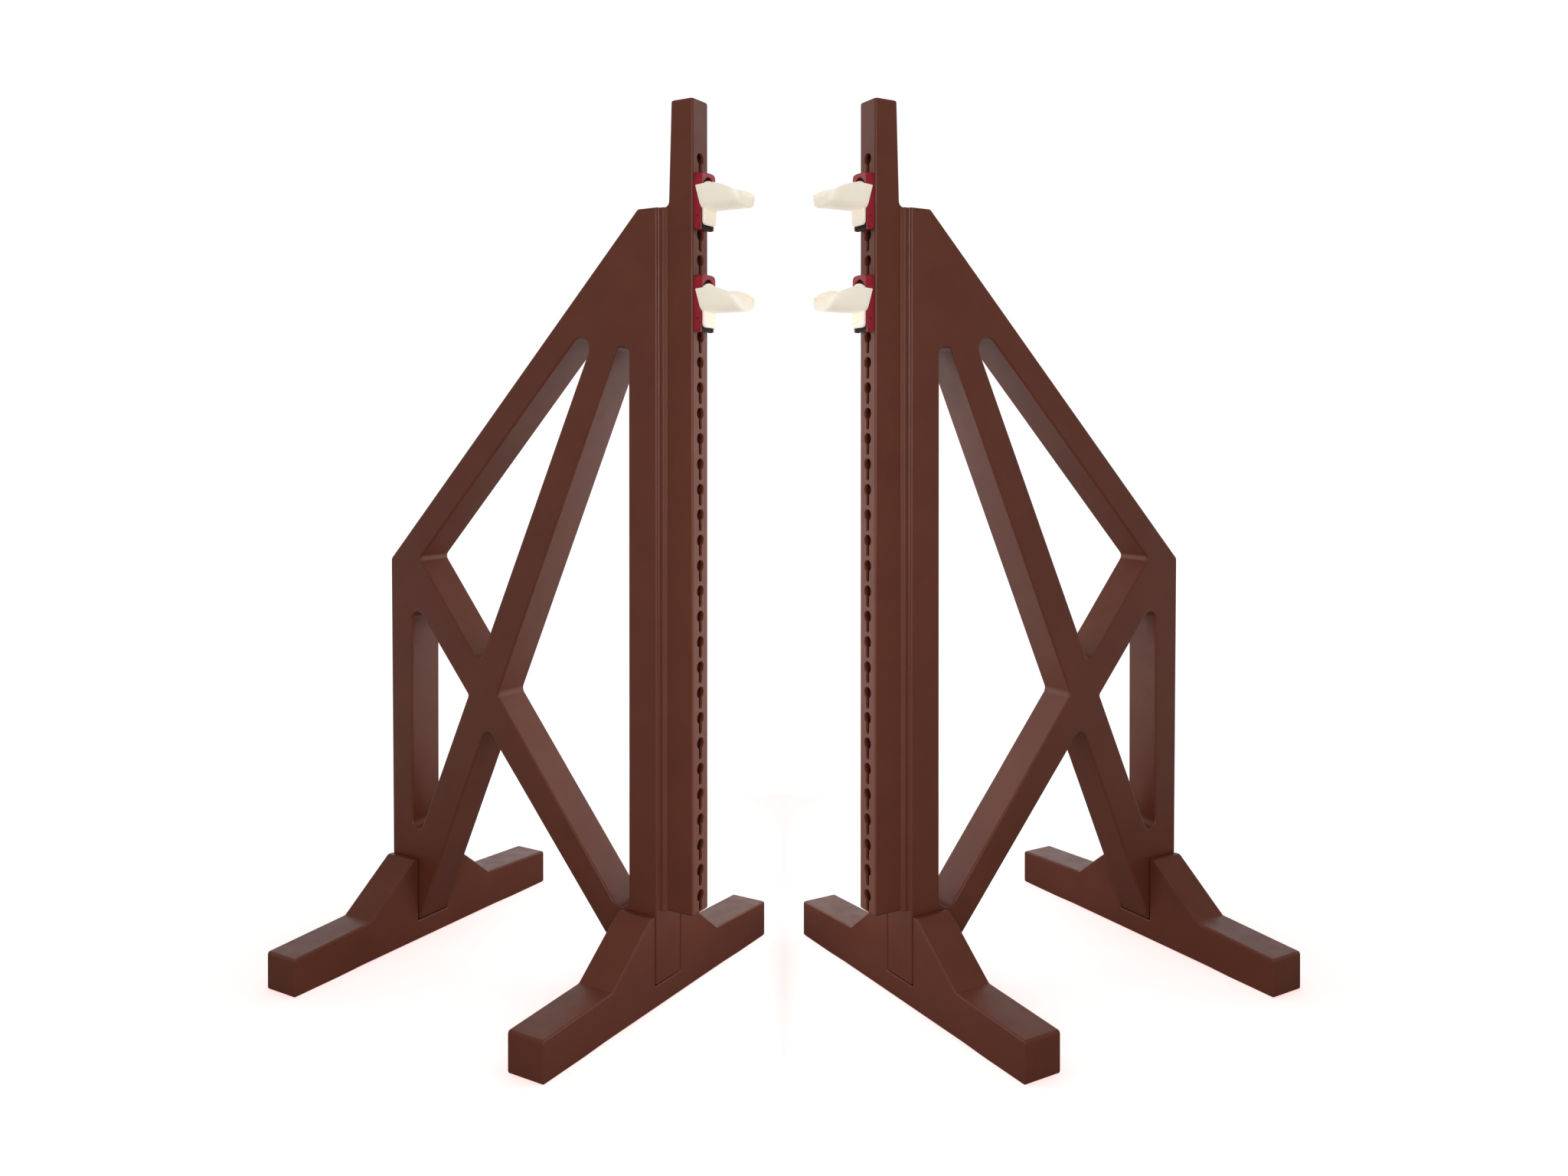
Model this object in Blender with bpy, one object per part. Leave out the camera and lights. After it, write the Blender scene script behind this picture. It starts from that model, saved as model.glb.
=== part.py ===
"""A pair of moulded show-jumping wing stands with red brackets and safety pole cups.

Frame: metres, +Z up. The origin is on the floor, at the centre of the pair's footprint.
Each stand is modelled in its own axes and then turned into place by an empty:
  x (depth)   from the keyhole face, back along the wing
  y (across)  through the wing's thickness, 0 at its middle
  z (up)      from the floor
Each cup is modelled in its bracket's axes:
  x (out)     from the keyhole face, towards the other stand
  y (across)  as above, 0 at the keyholes' middle
  z (up)      from the bracket's lower end
"""
from math import asin, atan2, cos, pi, radians, sin, tan

import bmesh
import bpy
from mathutils import Matrix, Vector

# ---- how the two stands are placed
TOE_IN = radians(30.3)             # angle between each wing and the line through both posts
FACE_TO_MIDDLE = 0.1644            # keyhole face's centre to the plane midway between the stands

# ---- keyholes: one every 50 mm
PITCH = 0.050
KEYHOLES = 30
FIRST_HEAD_Z = 0.226
HEAD_RADIUS = 0.011
SLOT_HALF = 0.0048
SLOT_DROP = 0.0265                 # head centre down to the centre of the slot's round end

# ---- wing: post, ledge and braced panel in one moulding
POST_HALF = 0.0275
POST_DEPTH = 0.065
POST_BOTTOM = 0.1925
POST_TOP = 1.792
KEY_WALL = 0.006
POST_WALL = 0.005
LEDGE_HALF = 0.034
LEDGE_START = 0.067
PANEL_HALF = 0.041
PANEL_START = 0.0765
PANEL_TOP = 1.583
SHOULDER_FILLET = 0.012
RAIL_TOP_X = 0.1246                # where the short top rail turns down into the slanted rail
KNEE = (0.8232, 0.852)
LEG_OUTER_X = 0.8163
LEG_BOTTOM = 0.0463
POST_RAIL_X = 0.1465               # inner edge of the post's own leg
OUTER_RAIL_X = 0.7555              # inner edge of the outer leg
# Straight edges of the braces, each as (x, z, slope) of one point on the edge
RAIL_INNER = (0.3054, 1.3066, -1.058)
BRACE_1_UPPER = (0.4500, 0.8610, -2.200)
BRACE_1_LOWER = (0.2193, 1.2068, -2.258)
BRACE_2_UPPER = (0.1804, 0.1866, 1.217)
BRACE_2_LOWER = (0.2070, 0.1257, 1.165)
KNEE_FILLET = 0.006

# ---- feet
FOOT_LENGTH = 0.746
FOOT_WIDTH = 0.0835
FOOT_CENTRES = {"near": 0.1195, "far": 0.7745}
BEAM_END = 0.077
BEAM_INNER = 0.086
GUSSET_BASE_Y = 0.178
GUSSET_TOP_Y = 0.058
GUSSET_TOP = 0.1836
SLOT_HALF_Y = 0.0428
SLOT_FLOOR = 0.046
ARCH_HALF = 0.240
ARCH_RISE = 0.004
ARCH_RAMP = 0.020
FOOT_BEVEL = 0.005

# ---- brackets and their cups, two on each stand
UPPER_CUP_KEY = 27                 # keyhole that holds the lower stud, counted from 0
LOWER_CUP_KEY = 23
GAP = 0.0003                       # between pieces that touch
BRACKET_LOW = 0.0035               # heights on a bracket and its cup share one origin
BRACKET_HEIGHT = 0.1165
BRACKET_HALF = 0.023
BRACKET_WALL = 0.0035
BRACKET_BACK = 0.004
BRACKET_DEPTH = 0.0165
BACK_RADIUS = 0.008
HOOD_BOTTOM = 0.089
HOOD_DEPTH = 0.020
HOOD_THICK = 0.0035
ARCH_TOP = 0.107
ARCH_FALL = 0.018
STUD_ABOVE = 0.0183                # height of the lower stud on the bracket
STUD_SHANK = 0.00375
STUD_HEAD = 0.0085
STUD_HOLE = 0.00385
HINGE_X, HINGE_Z = 0.0125, 0.0086
CATCH_X, CATCH_Z = 0.0086, 0.0300
PIN_RADIUS = 0.0018
PIN_HOLE = 0.0019
PIN_HALF = 0.0228
LATCH_LOW, LATCH_HIGH = 0.0905, 0.1125
PLATE_BACK = 0.0170
PLATE_FRONT = 0.0255
PLATE_HALF = 0.0210
PLATE_BOTTOM = 0.0120
PLATE_CORNER = 0.008
PLATE_TOP = 0.0990
PLATE_TOP_FALL = 0.008
KNUCKLE_RADIUS = 0.0045
KNUCKLE_HALF = 0.0188
KNUCKLE_TOP = 0.0230
TROUGH_BOTTOM = 0.0395
TROUGH_THICK = 0.0045
# Trough sections: (x out, outer half width, rim height, roundness 0 to 1)
TROUGH = [(0.0185, 0.0450, 0.0840, 0.0), (0.0400, 0.0455, 0.0855, 0.3),
          (0.0600, 0.0445, 0.0850, 0.5), (0.0850, 0.0405, 0.0775, 0.8),
          (0.1000, 0.0345, 0.0695, 1.0), (0.1075, 0.0290, 0.0655, 1.0),
          (0.1105, 0.0240, 0.0635, 1.0)]
# Wall across the tip: (x out, outer half width), its bottom and its top
END_WALL = [(0.1068, 0.0275), (0.1102, 0.0222)]
END_LOW, END_HIGH = 0.0415, 0.0600
# Half of the flared section at the back: (share of the half width, share of the depth)
FLARE = [(1.0, 1.0), (0.9, 0.78), (0.8, 0.56), (0.67, 0.28), (0.56, 0.15), (0.38, 0.05), (0.0, 0.0)]

ARC_STEPS = 5
BLACK = (0.012, 0.011, 0.011)
BROWN = (0.115, 0.042, 0.026)
RED = (0.42, 0.012, 0.030)
CREAM = (0.84, 0.79, 0.70)
STEEL = (0.42, 0.42, 0.43)


# ---- helpers -------------------------------------------------------------------------

def clear_scene():
    for item in list(bpy.data.objects):
        bpy.data.objects.remove(item, do_unlink=True)


def material(name, colour, roughness, metallic=0.0):
    made = bpy.data.materials.new(name)
    made.use_nodes = True
    shader = made.node_tree.nodes["Principled BSDF"]
    shader.inputs["Base Color"].default_value = (*colour, 1.0)
    shader.inputs["Roughness"].default_value = roughness
    shader.inputs["Metallic"].default_value = metallic
    return made


def temporary(name, shape):
    """Object from a bmesh, with its faces pointing out."""
    bmesh.ops.recalc_face_normals(shape, faces=shape.faces)
    mesh = bpy.data.meshes.new(name)
    shape.to_mesh(mesh)
    shape.free()
    item = bpy.data.objects.new(name, mesh)
    bpy.context.scene.collection.objects.link(item)
    return item


def baked(item, *tools):
    """Mesh of an object with its modifiers applied; the object and its tools are removed."""
    bpy.context.view_layer.update()
    graph = bpy.context.evaluated_depsgraph_get()
    mesh = bpy.data.meshes.new_from_object(item.evaluated_get(graph))
    for used in (item, *tools):
        bpy.data.objects.remove(used, do_unlink=True)
    return mesh


def combine(item, tool, operation):
    change = item.modifiers.new(tool.name, "BOOLEAN")
    change.object = tool
    change.operation = operation
    change.solver = "EXACT"
    tool.hide_render = True
    tool.display_type = "WIRE"


def add_prism(shape, outline, low, high, along):
    """Extrude an outline: (x, z) points along y, (y, z) points along x."""
    if along == "y":
        corners = [Vector((a, low, b)) for a, b in outline]
        push = Vector((0, high - low, 0))
    else:
        corners = [Vector((low, a, b)) for a, b in outline]
        push = Vector((high - low, 0, 0))
    face = shape.faces.new([shape.verts.new(point) for point in corners])
    grown = bmesh.ops.extrude_face_region(shape, geom=[face])
    moved = [part for part in grown["geom"] if isinstance(part, bmesh.types.BMVert)]
    bmesh.ops.translate(shape, verts=moved, vec=push)


def prism(name, outline, low, high, along):
    shape = bmesh.new()
    add_prism(shape, outline, low, high, along)
    return temporary(name, shape)


def block(name, low, high):
    outline = [(low[0], low[2]), (high[0], low[2]), (high[0], high[2]), (low[0], high[2])]
    return prism(name, outline, low[1], high[1], "y")


def arc(centre, radius, start, sweep, steps):
    angles = [start + sweep * step / steps for step in range(steps + 1)]
    return [(centre[0] + radius * cos(a), centre[1] + radius * sin(a)) for a in angles]


def rounded(corners, radii, steps=ARC_STEPS):
    """Outline with an arc of the given radius in place of each corner."""
    outline = []
    for index, corner in enumerate(corners):
        if not radii[index]:
            outline.append(corner)
            continue
        here = Vector(corner)
        back = (Vector(corners[index - 1]) - here).normalized()
        ahead = (Vector(corners[(index + 1) % len(corners)]) - here).normalized()
        half = back.angle(ahead) / 2
        centre = here + (back + ahead).normalized() * radii[index] / sin(half)
        start = here + back * radii[index] / tan(half) - centre
        end = here + ahead * radii[index] / tan(half) - centre
        first = atan2(start.y, start.x)
        sweep = (atan2(end.y, end.x) - first + pi) % (2 * pi) - pi
        outline += arc(centre, radii[index], first, sweep, steps)
    return outline


def crossing(line, other):
    """Where two straight edges meet; a plain number is an upright edge at that x."""
    if isinstance(line, float):
        return (line, height_at(other, line))
    if isinstance(other, float):
        return (other, height_at(line, other))
    (x1, z1, m1), (x2, z2, m2) = line, other
    x = (z2 - z1 + m1 * x1 - m2 * x2) / (m1 - m2)
    return (x, height_at(line, x))


def height_at(line, x):
    return line[1] + line[2] * (x - line[0])


def x_at(line, z):
    return line[0] + (z - line[1]) / line[2]


def turned(name, profile, axis, steps):
    """Round solid from (along, radius) points, turned about the x or y axis."""
    shape = bmesh.new()
    if axis == "x":
        points = [Vector((along, 0, radius)) for along, radius in profile]
        line = Vector((1, 0, 0))
    else:
        points = [Vector((0, along, radius)) for along, radius in profile]
        line = Vector((0, 1, 0))
    verts = [shape.verts.new(point) for point in points]
    edges = [shape.edges.new(pair) for pair in zip(verts, verts[1:])]
    bmesh.ops.spin(shape, geom=verts + edges, cent=(0, 0, 0), axis=line,
                   angle=2 * pi, steps=steps, use_merge=True)
    bmesh.ops.remove_doubles(shape, verts=shape.verts, dist=1e-6)
    return temporary(name, shape)


def place(name, mesh, finish, parent, location=(0, 0, 0)):
    """Named piece under an empty, sharing its mesh with its twins."""
    item = bpy.data.objects.new(name, mesh)
    bpy.context.scene.collection.objects.link(item)
    item.parent = parent
    item.location = location
    if not mesh.materials:
        mesh.materials.append(finish)
    mesh.shade_smooth()
    mesh.set_sharp_from_angle(angle=radians(30))
    return item


def empty(name, parent, location, turn):
    item = bpy.data.objects.new(name, None)
    bpy.context.scene.collection.objects.link(item)
    item.parent = parent
    item.location = location
    item.rotation_euler = (0, 0, turn)
    return item


# ---- wing ----------------------------------------------------------------------------

def panel_outline():
    """Outer outline of the panel: rails, knee, both legs and the gap between the legs."""
    corners = [(PANEL_START, PANEL_TOP), (RAIL_TOP_X, PANEL_TOP), KNEE,
               (LEG_OUTER_X, LEG_BOTTOM), (x_at(BRACE_1_LOWER, LEG_BOTTOM), LEG_BOTTOM),
               crossing(BRACE_1_LOWER, BRACE_2_LOWER),
               (x_at(BRACE_2_LOWER, LEG_BOTTOM), LEG_BOTTOM), (PANEL_START, LEG_BOTTOM)]
    return rounded(corners, [0, 0.006, 0.010, 0, 0, 0.015, 0, 0], 3)


def opening_outlines():
    """The three closed openings between the rails and the two crossing braces."""
    upper = [crossing(RAIL_INNER, BRACE_1_UPPER), crossing(RAIL_INNER, BRACE_2_UPPER),
             crossing(BRACE_1_UPPER, BRACE_2_UPPER)]
    inner = [crossing(POST_RAIL_X, BRACE_1_LOWER), crossing(BRACE_1_LOWER, BRACE_2_UPPER),
             crossing(POST_RAIL_X, BRACE_2_UPPER)]
    outer = [crossing(OUTER_RAIL_X, BRACE_2_LOWER), crossing(OUTER_RAIL_X, BRACE_1_UPPER),
             crossing(BRACE_1_UPPER, BRACE_2_LOWER)]
    return [rounded(upper, [0.023, KNEE_FILLET, 0.014]),
            rounded(inner, [0.0162, KNEE_FILLET, 0.0227]),
            rounded(outer, [0.0178, 0.0166, KNEE_FILLET])]


def post_outline():
    """Post from the side, with the round shoulder where it rises above the panel."""
    inside = PANEL_START + 0.004
    shoulder_x = POST_DEPTH + SHOULDER_FILLET
    shoulder = arc((shoulder_x, PANEL_TOP + SHOULDER_FILLET), SHOULDER_FILLET, pi, pi / 2, 4)
    top = rounded([(0, POST_BOTTOM), (0, POST_TOP), (POST_DEPTH, POST_TOP)], [0, 0.004, 0], 2)
    return top + shoulder + [(inside, PANEL_TOP), (inside, POST_BOTTOM)]


def keyhole_cutter():
    """All the keyholes in one tool: a round head with a narrower slot below it."""
    join = asin(SLOT_HALF / HEAD_RADIUS)
    shape = bmesh.new()
    for index in range(KEYHOLES):
        z = FIRST_HEAD_Z + index * PITCH
        head = arc((0, z), HEAD_RADIUS, join - pi / 2, 2 * pi - 2 * join, 10)
        foot = arc((0, z - SLOT_DROP), SLOT_HALF, pi, pi, 4)
        add_prism(shape, head + foot, -0.004, KEY_WALL + 0.002, "x")
    return temporary("keyholes", shape)


def wing_mesh():
    wing = prism("wing", panel_outline(), -PANEL_HALF, PANEL_HALF, "y")
    ledge = block("ledge", (LEDGE_START, -LEDGE_HALF, POST_BOTTOM),
                  (PANEL_START + 0.004, LEDGE_HALF, PANEL_TOP))
    post = prism("post", post_outline(), -POST_HALF, POST_HALF, "y")
    hollow = block("hollow", (KEY_WALL, POST_WALL - POST_HALF, POST_BOTTOM + POST_WALL),
                   (POST_DEPTH - POST_WALL, POST_HALF - POST_WALL, POST_TOP - POST_WALL))
    keyholes = keyhole_cutter()
    openings = [prism("opening", outline, -0.06, 0.06, "y") for outline in opening_outlines()]
    for tool in (ledge, post):
        combine(wing, tool, "UNION")
    for tool in (*openings, hollow, keyholes):
        combine(wing, tool, "DIFFERENCE")
    return baked(wing, ledge, post, hollow, keyholes, *openings)


# ---- foot ----------------------------------------------------------------------------

def foot_mesh():
    """Beam with a slotted gusset in its middle and a shallow arch under it."""
    half = [(ARCH_HALF, ARCH_RISE), (ARCH_HALF + ARCH_RAMP, 0), (FOOT_LENGTH / 2, 0),
            (FOOT_LENGTH / 2, BEAM_END), (GUSSET_BASE_Y, BEAM_INNER),
            (GUSSET_TOP_Y, GUSSET_TOP), (SLOT_HALF_Y, GUSSET_TOP), (SLOT_HALF_Y, SLOT_FLOOR)]
    outline = half + [(-y, z) for y, z in reversed(half)]
    shape = bmesh.new()
    add_prism(shape, outline, -FOOT_WIDTH / 2, FOOT_WIDTH / 2, "x")
    bmesh.ops.recalc_face_normals(shape, faces=shape.faces)
    outer = [edge for edge in shape.edges if edge.calc_face_angle_signed() > radians(50)]
    bmesh.ops.bevel(shape, geom=outer, offset=FOOT_BEVEL, segments=2, profile=0.5,
                    affect="EDGES", clamp_overlap=True)
    return baked(temporary("foot", shape))


# ---- bracket, studs, pins and black pieces --------------------------------------------

def arch_height(y, top, fall, half):
    return top - fall * (y / half) ** 2


def bracket_side():
    """Side wall with rounded ends and the hood on top."""
    corners = [(GAP, BRACKET_HEIGHT), (GAP, BRACKET_LOW), (BRACKET_DEPTH, BRACKET_LOW),
               (BRACKET_DEPTH, HOOD_BOTTOM), (HOOD_DEPTH, HOOD_BOTTOM + 0.003),
               (HOOD_DEPTH, BRACKET_HEIGHT)]
    return rounded(corners, [0.004, BACK_RADIUS, 0.004, 0, 0, 0.005], 3)


def bracket_mesh():
    """U-shaped bracket, open at the front and at the bottom, with a hood on top."""
    wide = BRACKET_HALF
    inner = wide - BRACKET_WALL
    bracket = prism("bracket", bracket_side(), -wide, wide, "y")
    hood_inside = HOOD_DEPTH - HOOD_THICK
    channel = prism("channel", [(BRACKET_BACK, -0.01), (0.03, -0.01),
                                (0.03, HOOD_BOTTOM - 0.004), (hood_inside, HOOD_BOTTOM - 0.004),
                                (hood_inside, BRACKET_HEIGHT - HOOD_THICK),
                                (BRACKET_BACK, BRACKET_HEIGHT - HOOD_THICK)], -inner, inner, "y")
    steps = [wide * (1.1 - 2.2 * step / 12) for step in range(13)]
    arch = [(y, arch_height(y, ARCH_TOP, ARCH_FALL, wide)) for y in steps]
    arch += [(-1.1 * wide, 0.05), (1.1 * wide, 0.05)]
    mouth = prism("mouth", arch, BRACKET_DEPTH - 0.0004, 0.03, "x")
    low_hole = turned("low_hole", [(-0.001, 0), (-0.001, STUD_HOLE), (0.008, STUD_HOLE),
                                   (0.008, 0)], "x", 14)
    high_hole = low_hole.copy()
    bpy.context.scene.collection.objects.link(high_hole)
    low_hole.location = (0, 0, STUD_ABOVE)
    high_hole.location = (0, 0, STUD_ABOVE + PITCH)
    tools = (channel, mouth, low_hole, high_hole, pin_hole(HINGE_X, HINGE_Z),
             pin_hole(CATCH_X, CATCH_Z))
    for tool in tools:
        combine(bracket, tool, "DIFFERENCE")
    return baked(bracket, *tools)


def pin_hole(x, z):
    line = [(-0.03, 0), (-0.03, PIN_HOLE), (0.03, PIN_HOLE), (0.03, 0)]
    hole = turned("pin_hole", line, "y", 12)
    hole.location = (x, 0, z)
    return hole


def stud_mesh():
    """Mushroom stud: wide head behind the keyhole wall, riveted over in the bracket."""
    behind = -(KEY_WALL + 0.0008)
    profile = [(behind - 0.003, 0), (behind - 0.003, STUD_HEAD - 0.001),
               (behind - 0.002, STUD_HEAD), (behind, STUD_HEAD), (behind, STUD_SHANK),
               (BRACKET_BACK + GAP, STUD_SHANK), (BRACKET_BACK + GAP, 0.006),
               (BRACKET_BACK + 0.0015, 0.006), (BRACKET_BACK + 0.0025, 0.004),
               (BRACKET_BACK + 0.0025, 0)]
    return baked(turned("stud", profile, "x", 14))


def pin_mesh():
    line = [(-PIN_HALF, 0), (-PIN_HALF, PIN_RADIUS - 0.0005), (0.0005 - PIN_HALF, PIN_RADIUS),
            (PIN_HALF - 0.0005, PIN_RADIUS), (PIN_HALF, PIN_RADIUS - 0.0005), (PIN_HALF, 0)]
    return baked(turned("pin", line, "y", 12))


def latch_mesh():
    """Black block in the hood, behind the top of the cup's plate."""
    half = BRACKET_HALF - BRACKET_WALL - GAP
    return baked(block("latch", (BRACKET_BACK + GAP, -half, LATCH_LOW),
                       (HOOD_DEPTH - HOOD_THICK - GAP, half, LATCH_HIGH)))


def hinge_block_mesh():
    """Black knuckle fixed behind the cup's plate; it turns on the hinge pin."""
    front = PLATE_BACK - GAP
    round_end = arc((HINGE_X, HINGE_Z), KNUCKLE_RADIUS, radians(20), radians(-200), 8)
    web = [(HINGE_X - 0.0040, KNUCKLE_TOP - 0.002), (HINGE_X - 0.0028, KNUCKLE_TOP),
           (front, KNUCKLE_TOP), (front, HINGE_Z + 0.0016)]
    block_item = prism("hinge_block", round_end + web, -KNUCKLE_HALF, KNUCKLE_HALF, "y")
    hole = pin_hole(HINGE_X, HINGE_Z)
    combine(block_item, hole, "DIFFERENCE")
    mesh = baked(block_item, hole)
    mesh.transform(Matrix.Translation((-HINGE_X, 0, -HINGE_Z)))
    return mesh


# ---- cup -----------------------------------------------------------------------------

def section(x, half, rim, bottom, roundness):
    """Trough section at one distance out: flared at the back, round, then squarer at the tip."""
    right = []
    power = 1 - 0.4 * min(max((x - 0.090) / 0.0175, 0), 1)
    for index, (across, up) in enumerate(FLARE):
        turn = pi / 2 * index / (len(FLARE) - 1)
        y = across + (max(cos(turn), 0) ** power - across) * roundness
        z = up + (1 - sin(turn) ** power - up) * roundness
        right.append((half * y, bottom + (rim - bottom) * z))
    whole = right + [(-y, z) for y, z in reversed(right[:-1])]
    return [Vector((x, y, z)) for y, z in whole]


def trough_object():
    """Open trough that narrows and gets lower towards its tip."""
    shape = bmesh.new()
    loops = []
    for x, half, rim, roundness in TROUGH:
        outer = section(x, half, rim, TROUGH_BOTTOM, roundness)
        inner = section(x, half - TROUGH_THICK, rim, TROUGH_BOTTOM + TROUGH_THICK, roundness)
        loops.append([shape.verts.new(point) for point in outer + inner[::-1]])
    for loop, following in zip(loops, loops[1:]):
        for index in range(len(loop)):
            nearby = (index + 1) % len(loop)
            shape.faces.new((loop[index], loop[nearby], following[nearby], following[index]))
    for loop in (loops[0], loops[-1]):
        last = len(loop) - 1
        for index in range(len(loop) // 2 - 1):
            shape.faces.new((loop[index], loop[index + 1],
                             loop[last - index - 1], loop[last - index]))
    return temporary("trough", shape)


def end_wall_object():
    """Low wall that closes the tip of the trough."""
    shape = bmesh.new()
    rings = []
    for x, half in END_WALL:
        rings.append([shape.verts.new(point) for point in section(x, half, END_HIGH, END_LOW, 1)])
    shape.faces.new(rings[0])
    shape.faces.new(rings[1][::-1])
    for index in range(len(rings[0])):
        nearby = (index + 1) % len(rings[0])
        shape.faces.new((rings[0][index], rings[0][nearby], rings[1][nearby], rings[1][index]))
    return temporary("end_wall", shape)


def cup_mesh():
    """Trough, the wall at its tip and the plate that stands in front of the bracket."""
    steps = [PLATE_HALF * (1 - 2 * step / 8) for step in range(9)]
    top = [(y, arch_height(y, PLATE_TOP, PLATE_TOP_FALL, PLATE_HALF)) for y in steps]
    low = rounded([(-PLATE_HALF, 0.05), (-PLATE_HALF, PLATE_BOTTOM),
                   (PLATE_HALF, PLATE_BOTTOM), (PLATE_HALF, 0.05)],
                  [0, PLATE_CORNER, PLATE_CORNER, 0], 4)
    cup = prism("cup", top + low, PLATE_BACK, PLATE_FRONT, "x")
    trough, wall = trough_object(), end_wall_object()
    combine(cup, trough, "UNION")
    combine(cup, wall, "UNION")
    mesh = baked(cup, trough, wall)
    mesh.transform(Matrix.Translation((-HINGE_X, 0, -HINGE_Z)))
    return mesh


# ---- assembly ------------------------------------------------------------------------

def stand_position(side):
    """Keyhole face's centre on the floor; the footprint of the pair is centred on the origin."""
    far_x = FOOT_CENTRES["far"] + FOOT_WIDTH / 2
    near_x = FOOT_CENTRES["near"] - FOOT_WIDTH / 2
    reach = FOOT_LENGTH / 2 * cos(TOE_IN)
    back = far_x * sin(TOE_IN) + reach
    front = near_x * sin(TOE_IN) - reach
    return (side * FACE_TO_MIDDLE, -(back + front) / 2, 0)


def build():
    clear_scene()
    brown = material("brown_plastic", BROWN, 0.55)
    red = material("red_plastic", RED, 0.35)
    cream = material("cream_plastic", CREAM, 0.40)
    steel = material("steel", STEEL, 0.35, 1.0)
    black = material("black_plastic", BLACK, 0.50)
    wing, foot, bracket = wing_mesh(), foot_mesh(), bracket_mesh()
    stud, pin, cup = stud_mesh(), pin_mesh(), cup_mesh()
    latch, hinge_block = latch_mesh(), hinge_block_mesh()
    for name, side, turn in (("left", -1, pi - TOE_IN), ("right", 1, TOE_IN)):
        stand = empty(name + "_stand", None, stand_position(side), turn)
        place(name + "_wing", wing, brown, stand)
        for which, centre in FOOT_CENTRES.items():
            place(f"{name}_{which}_foot", foot, brown, stand, (centre, 0, 0))
        for level, key in (("upper", UPPER_CUP_KEY), ("lower", LOWER_CUP_KEY)):
            label = f"{name}_{level}"
            slot_end = FIRST_HEAD_Z - SLOT_DROP + key * PITCH
            holder = empty(label + "_lift", stand, (0, 0, slot_end - STUD_ABOVE), pi)
            place(label + "_bracket", bracket, red, holder)
            place(label + "_low_stud", stud, steel, holder, (0, 0, STUD_ABOVE))
            place(label + "_high_stud", stud, steel, holder, (0, 0, STUD_ABOVE + PITCH))
            place(label + "_hinge_pin", pin, steel, holder, (HINGE_X, 0, HINGE_Z))
            place(label + "_catch_pin", pin, steel, holder, (CATCH_X, 0, CATCH_Z))
            place(label + "_latch_block", latch, black, holder)
            place(label + "_cup", cup, cream, holder, (HINGE_X, 0, HINGE_Z))
            place(label + "_hinge_block", hinge_block, black, holder, (HINGE_X, 0, HINGE_Z))


build()
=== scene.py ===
"""Looks of the pair of wing stands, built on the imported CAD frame.

Units are metres. Each stand has its own axes, as in the CAD model:
  s  back along the wing from the keyhole face
  t  through the wing's thickness, 0 at its middle
  z  up from the floor
Each bracket and cup has its own axes: x out from the keyhole face, y across, z up from
BRACKET_LOW below the bracket's lower end.
"""

from math import asin, atan2, cos, pi, radians, sin, sqrt, tan

import bmesh
import bpy
from mathutils import Matrix, Vector
from mathutils.geometry import tessellate_polygon


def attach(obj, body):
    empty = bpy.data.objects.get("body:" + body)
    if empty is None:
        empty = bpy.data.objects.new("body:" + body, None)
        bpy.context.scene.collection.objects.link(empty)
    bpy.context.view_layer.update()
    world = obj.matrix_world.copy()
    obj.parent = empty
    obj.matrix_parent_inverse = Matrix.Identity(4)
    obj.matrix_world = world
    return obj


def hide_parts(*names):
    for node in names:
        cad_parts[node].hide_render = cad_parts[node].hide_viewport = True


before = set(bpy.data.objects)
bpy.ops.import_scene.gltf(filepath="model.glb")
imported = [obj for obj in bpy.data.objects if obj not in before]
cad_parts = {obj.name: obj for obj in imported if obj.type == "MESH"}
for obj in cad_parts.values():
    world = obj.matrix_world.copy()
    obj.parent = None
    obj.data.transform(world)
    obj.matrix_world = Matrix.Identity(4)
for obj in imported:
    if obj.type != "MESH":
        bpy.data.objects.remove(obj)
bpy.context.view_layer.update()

# ---- sizes, as in the CAD model ------------------------------------------------------
GAP = 0.0003                       # clearance between separate pieces
EDGE = 0.0045                      # rounding of the mouldings' edges

TOE_IN = radians(30.3)             # angle between each wing and the line through both posts
FACE_TO_MIDDLE = 0.1644            # keyhole face to the plane between the stands
PITCH, KEYHOLES, FIRST_HEAD_Z = 0.050, 30, 0.226
HEAD_RADIUS, SLOT_HALF, SLOT_DROP = 0.011, 0.0048, 0.0265
POST_HALF, POST_BOTTOM, POST_TOP = 0.0275, 0.1925, 1.792
POST_BACK_IN_LEDGE, POST_BACK_ABOVE, POST_TAPER = 0.0690, 0.0585, 0.0065
STUB_FILLET = 0.0115               # where the post leaves the panel's top
PANEL_HALF, PANEL_START, PANEL_TOP = 0.041, 0.0765, 1.583
LEDGE_HALF = 0.0345
KEY_WALL, HOLLOW_HALF = 0.006, 0.0225
# Height and depth of the hollow's back: inside the first rail, then inside the post's top
HOLLOW_LEVELS = [(0.198, 0.135), (1.560, 0.135), (1.575, 0.054), (1.787, 0.047)]
RAIL_TOP_X = 0.1246
KNEE = (0.8232, 0.852)
LEG_OUTER_X, LEG_BOTTOM = 0.8163, 0.0463
POST_RAIL_X, OUTER_RAIL_X = 0.1465, 0.7555
# Edges of the rail and the braces: a point (s, z) and the slope there
RAIL_INNER = (0.3054, 1.3066, -1.058)
BRACE_1_UPPER = (0.4500, 0.8610, -2.200)
BRACE_1_LOWER = (0.2193, 1.2068, -2.258)
BRACE_2_UPPER = (0.1804, 0.1866, 1.217)
BRACE_2_LOWER = (0.2070, 0.1257, 1.165)

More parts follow.
